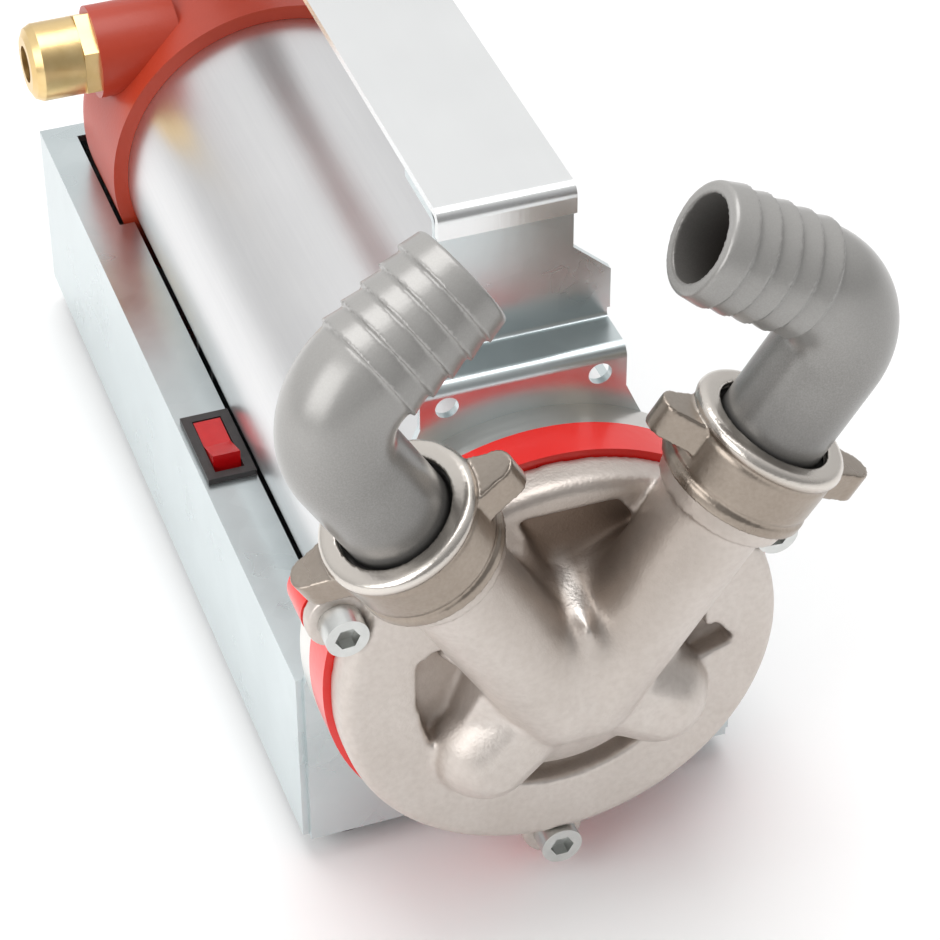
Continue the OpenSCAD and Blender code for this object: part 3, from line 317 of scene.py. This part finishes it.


# Hose elbows
# Glass-filled nylon, injection moulded: satin grey with fibres that show as fine pale specks.
# Painted light makes the hose tail paler, painted shade darkens the foot and the bore, and a
# painted shadow blackens the gap under the nut's lip.
elbow_voxel = 0.00045
elbow_passes = 1
bend_rise = 0.122
bore_radius = 0.00965
# Anything further than this from the port's axis belongs to the hose tail
tail_root = 0.030
# Where a colour starts and is full, along the port, from the tail's axis and along the tail
tail_start = (0.108, 0.130)
foot_end = (0.086, 0.102)
gap_end = (0.0846, 0.0864)
bore_wall = (bore_radius + 0.0003, bore_radius + 0.0008)
bore_start = (0.0125, 0.014)
mouth_start = (0.030, 0.044)
nylon_grey = ((0.20, 0.193, 0.182), (0.40, 0.39, 0.375))
painted_tail_light = (0.46, 0.45, 0.435)
foot_shade = (0.12, 0.115, 0.11)
gap_shadow = (0.01, 0.01, 0.01)
bore_shade = (0.035, 0.027, 0.021)
fibre_height = 0.000012


def nylon(bend, tail):
    """The elbow's finish, for a tail whose axis leaves the point bend in the direction tail."""

    def build(place, x, y, z):
        specks = place.grain(0.00035, 2.0).ramp(0.35, 0.75)
        cloud = place.grain(0.015, 2.0)
        along = along_port(x, y, z)
        color = (specks * 0.3 + cloud * 0.3).mix(*nylon_grey)
        # Painted light on the hose tail, painted shade at the foot, painted shadow in the gap under
        # the nut's lip
        color = (along.ramp(*tail_start) * 0.5).mix(color, painted_tail_light)
        color = ((1 - along.ramp(*foot_end)) * 0.45).mix(color, foot_shade)
        color = ((1 - along.ramp(*gap_end)) * 0.8).mix(color, gap_shadow)
        # Painted shade inside the bore, darkest deep inside and fading towards the mouth
        dx, dy, dz = x - bend.x, y - bend.y, z - bend.z
        reach = dx * tail.x + dy * tail.y + dz * tail.z
        radius = (dx * dx + dy * dy + dz * dz - reach * reach).root()
        bore = (1 - radius.ramp(*bore_wall)) * reach.ramp(*bore_start)
        color = (bore * (0.92 - reach.ramp(*mouth_start) * 0.6)).mix(color, bore_shade)
        return color, 0.27 + cloud * 0.06, place.grain(0.0005, 1.0), fibre_height

    return build


for side, way in (("left", -1), ("right", 1)):
    elbow = remeshed(
        side + "_hose_elbow", side + "_elbow_moulding", elbow_voxel, elbow_passes, side + "_elbow",
    )
    lean = Vector((way * port_lean.x, port_lean.y, port_lean.z))
    bend = ports_meet + lean * bend_rise
    from_bend = [vertex.co - bend for vertex in elbow.data.vertices]
    aside = [point - lean * point.dot(lean) for point in from_bend]
    tail = sum((point for point in aside if point.length > tail_root), Vector()).normalized()
    finish = material(side + "_elbow_plastic", nylon(bend, tail), metal=0.35, coat=0.2)
    paint(elbow, finish)


# Lantern
# Cast ring in glossy signal red paint with a slight orange peel.
def mottled(cloud, colors, rough, spread, height, bumps=None):
    """The build function of an even finish.

    cloud and bumps give the size in metres and the detail of a noise. The cloud runs between
    the two colours and adds up to spread to the roughness. Without bumps it is the relief too.
    """

    def build(place, x, y, z):
        patch = place.grain(*cloud)
        relief = place.grain(*bumps) if bumps else patch
        return patch.mix(*colors), rough + patch * spread, relief, height

    return build


def dress(made, *names):
    for name in names:
        paint(nodes[name], made)


red_paint = mottled(
    cloud=(0.02, 2.0), colors=((0.78, 0.010, 0.008), (0.90, 0.022, 0.014)),
    rough=0.25, spread=0.08, bumps=(0.0025, 1.0), height=0.00004
)
dress(material("red_paint", red_paint, coat=0.4), "lantern")


# End cap
# Orange-red moulded cover over the motor's rear end, a little duller than the lantern.
cap_plastic = mottled(
    cloud=(0.03, 2.0), colors=((0.36, 0.030, 0.009), (0.50, 0.048, 0.018)),
    rough=0.38, spread=0.1, bumps=(0.0009, 2.0), height=0.00004
)
dress(material("cap_plastic", cap_plastic, coat=0.15), "end_cap")


# Motor tube and flange
# The tube is drawn aluminium with a satin finish: faint lines run along it. The flange, the
# rear shield and the wear plate are turned, so their lines run round the pump's axis.
tube_grey = ((0.68, 0.68, 0.69), (0.80, 0.80, 0.80))
turned_grey = ((0.70, 0.68, 0.65), (0.86, 0.84, 0.81))
along_tube = (1, 0.03, 1)
drawn_height = 0.00002
turned_height = 0.00001
turned_lines = 2500


def drawn_tube(place, x, y, z):
    lines = place.grain(0.0009, 2.0, along_tube)
    cloud = place.grain(0.03, 2.0)
    color = (lines * 0.5 + cloud * 0.5).mix(*tube_grey)
    return color, 0.27 + cloud * 0.1, lines, drawn_height


def turned_metal(place, x, y, z):
    height = z - axis_z
    radius = (x * x + height * height).root()
    lines = (radius * turned_lines + y * turned_lines).wave()
    cloud = place.grain(0.015, 2.0)
    return cloud.mix(*turned_grey), 0.24 + cloud * 0.1, lines + cloud, turned_height


dress(material("tube_metal", drawn_tube, metal=1.0), "motor_tube")
dress(
    material("bright_flange", turned_metal, metal=1.0),
    "motor_flange", "rear_shield", "wear_plate"
)


# Frame of zinc-coated sheet
# Bracket, tray, saddle and clip are folded from galvanised sheet: a cool bluish grey that
# mirrors what stands near it, with faint spangle.
zinc_grey = ((0.53, 0.59, 0.60), (0.71, 0.765, 0.775))
spangle_scale = 130.0
sheet_height = 0.00003


def zinc(place, x, y, z):
    cells = place.node("ShaderNodeTexVoronoi", Vector=place, Scale=spangle_scale)
    spangle = Sock(place.tree, cells.outputs["Color"]).parts()[0]
    cloud = place.grain(0.025, 3.0)
    color = (spangle * 0.12 + cloud * 0.8).mix(*zinc_grey)
    rough = 0.23 + spangle * 0.02 + cloud * 0.1
    return color, rough, place.grain(0.004, 2.0), sheet_height


dress(
    material("zinc_sheet", zinc, metal=1.0),
    "front_bracket", "base_tray", "motor_saddle", "capacitor_clip"
)


# Handle strap
# A brighter folded strip over the whole motor, faintly brushed along its length.
strap_grey = ((0.76, 0.77, 0.77), (0.89, 0.90, 0.90))
along_strap = (1, 0.02, 0.02)
brush_height = 0.000008


def brushed(place, x, y, z):
    lines = place.grain(0.0006, 2.0, along_strap)
    cloud = place.grain(0.03, 2.0)
    color = (lines * 0.2 + cloud * 0.7).mix(*strap_grey)
    return color, 0.22 + lines * 0.06, lines, brush_height


dress(material("handle_metal", brushed, metal=1.0), "handle_strap")


# Screws and other steel
# Zinc-plated or stainless screws, rods, clips and springs: grey metal with fine wear.
steel = mottled(
    cloud=(0.004, 3.0), colors=((0.52, 0.53, 0.52), (0.74, 0.75, 0.73)),
    rough=0.24, spread=0.15, bumps=(0.0008, 1.0), height=0.00002
)
dress(
    material("steel_parts", steel, metal=1.0),
    "cam_screw", "housing_screws", "tie_rods", "cap_screws", "handle_screws", "tray_screws",
    "foot_screws", "shaft", "impeller_circlip", "seal_spring", "impeller_cam"
)


# Bearings
# Ground and polished steel, nearly a mirror.
polished = mottled(
    cloud=(0.006, 2.0), colors=((0.62, 0.63, 0.65), (0.74, 0.75, 0.77)),
    rough=0.10, spread=0.06, height=0.000005
)
dress(
    material("bearing_steel", polished, metal=1.0),
    "bearing_outer_races", "bearing_inner_races", "bearing_balls"
)


# Stator and rotor
# Stacks of thin laminations that show as fine lines across the axis, with a cast cage's end
# rings on the rotor and a lacquered copper winding at both ends of the stator.
sheet_edges = ((0.10, 0.10, 0.11), (0.30, 0.30, 0.32))
wire_copper = ((0.30, 0.07, 0.02), (0.62, 0.22, 0.08))
sheet_edge_lines = 6283
wire_rings = 5200
wire_turns = 3600
sheet_edge_height = 0.00004
wire_height = 0.0002


def laminated(place, x, y, z):
    lines = (y * sheet_edge_lines).wave()
    cloud = place.grain(0.01, 2.0)
    color = (lines * 0.4 + cloud * 0.4).mix(*sheet_edges)
    return color, 0.42 + cloud * 0.1, lines, sheet_edge_height


def copper(place, x, y, z):
    height = z - axis_z
    radius = (x * x + height * height).root()
    wires = (radius * wire_rings + y * wire_turns).wave()
    return wires.mix(*wire_copper), 0.28 + wires * 0.1, wires, wire_height


cast_cage = mottled(
    cloud=(0.006, 3.0), colors=((0.52, 0.53, 0.54), (0.72, 0.73, 0.74)),
    rough=0.38, spread=0.12, height=0.00005
)
dress(material("lamination", laminated, metal=0.7), "stator_core", "rotor_core")
dress(material("cast_cage", cast_cage, metal=1.0), "rotor_end_rings")
dress(material("copper_winding", copper, metal=0.7, coat=0.3), "stator_winding")


# Brass
# Turned brass of the cable gland, the impeller's hub and the switch's terminals.
brass = mottled(
    cloud=(0.006, 3.0), colors=((0.70, 0.47, 0.19), (0.88, 0.68, 0.36)),
    rough=0.24, spread=0.12, bumps=(0.0007, 1.0), height=0.00002
)
dress(
    material("brass", brass, metal=1.0),
    "cable_gland_body", "cable_gland_nut", "impeller_hub", "switch_terminals"
)


# Rubber
# Moulded black rubber: feet, vanes, gaskets, O-ring, slinger and the gland's seal.
rubber = mottled(
    cloud=(0.004, 3.0), colors=((0.012, 0.012, 0.013), (0.030, 0.030, 0.031)),
    rough=0.55, spread=0.15, bumps=(0.0006, 2.0), height=0.00005
)
dress(
    material("black_rubber", rubber),
    "rubber_feet", "impeller_vanes", "port_gaskets", "housing_o_ring", "slinger_ring",
    "cable_gland_seal"
)


# Mechanical seal
# A pale ceramic seat against a carbon ring.
ceramic = mottled(
    cloud=(0.003, 2.0), colors=((0.78, 0.75, 0.68), (0.86, 0.84, 0.78)),
    rough=0.18, spread=0.08, height=0.00001
)
carbon = mottled(
    cloud=(0.002, 2.0), colors=((0.010, 0.010, 0.012), (0.035, 0.035, 0.040)),
    rough=0.30, spread=0.12, height=0.00001
)
dress(material("seal_ceramic", ceramic), "seal_seat")
dress(material("seal_carbon", carbon), "seal_head")


# Rocker switch
# A clip-in switch: black bezel with a fine moulded grain and a glossy red rocker.
black_plastic = mottled(
    cloud=(0.003, 2.0), colors=((0.014, 0.012, 0.012), (0.040, 0.034, 0.034)),
    rough=0.35, spread=0.1, bumps=(0.0004, 1.0), height=0.00003
)
rocker_plastic = mottled(
    cloud=(0.006, 2.0), colors=((0.40, 0.002, 0.004), (0.56, 0.006, 0.008)),
    rough=0.20, spread=0.06, height=0.00002
)
dress(material("black_plastic", black_plastic), "switch_bezel")
dress(material("red_rocker", rocker_plastic, coat=0.3), "switch_rocker")


# Capacitor and terminal block
# Cream moulded plastic, slightly uneven.
cream = mottled(
    cloud=(0.008, 2.0), colors=((0.66, 0.63, 0.54), (0.78, 0.76, 0.68)),
    rough=0.42, spread=0.1, bumps=(0.0008, 1.0), height=0.00003
)
dress(material("pale_plastic", cream), "capacitor", "terminal_block")


# Floor, light and sky
# A plain pale floor that runs on past the view, one large soft lamp above, another at the left,
# and a plain sky for the metal to mirror, brighter overhead and behind the pump than in front.
floor_half = 6
floor_grey = (0.98, 0.98, 0.98, 1)
sky_strength = 0.78
sky_greys = ((0.42, 0.42, 0.42), (1.2, 1.2, 1.2))
sky_range = (-0.1, 0.9)

floor_mesh = bpy.data.meshes.new("floor")
corners = [(-1, -1), (1, -1), (1, 1), (-1, 1)]
floor_mesh.from_pydata([(floor_half * x, floor_half * y, 0) for x, y in corners], [], [(0, 1, 2, 3)])
floor = bpy.data.objects.new("floor", floor_mesh)
bpy.context.collection.objects.link(floor)
floor_paint = bpy.data.materials.new("floor")
floor_paint.use_nodes = True
floor_shader = floor_paint.node_tree.nodes["Principled BSDF"]
floor_shader.inputs["Base Color"].default_value = floor_grey
floor_shader.inputs["Roughness"].default_value = 0.6
floor_mesh.materials.append(floor_paint)

world = bpy.data.worlds.new("room")
world.use_nodes = True
bpy.context.scene.world = world
background = world.node_tree.nodes["Background"]
direction = world.node_tree.nodes.new("ShaderNodeTexCoord").outputs["Generated"]
sideways, backward, upward = Sock(world.node_tree, direction).parts()
rise = backward * 0.6 + upward * 0.8
sky = rise.ramp(*sky_range).mix(*sky_greys)
world.node_tree.links.new(sky.out, background.inputs["Color"])
background.inputs["Strength"].default_value = sky_strength


def softbox(name, place, aim, size, power):
    lamp = bpy.data.objects.new(name, bpy.data.lights.new(name, "AREA"))
    lamp.data.shape = "RECTANGLE"
    lamp.data.size, lamp.data.size_y = size
    lamp.data.energy = power
    lamp.location = place
    lamp.rotation_euler = (Vector(aim) - Vector(place)).to_track_quat("-Z", "Y").to_euler()
    bpy.context.collection.objects.link(lamp)


softbox("top_lamp", (0.0, 0.15, 1.5), aim=(0, -0.05, 0.08), size=(1.1, 1.1), power=10)
softbox("left_lamp", (-1.3, -0.6, 0.9), aim=(0, 0, 0.1), size=(1.2, 1.2), power=12)
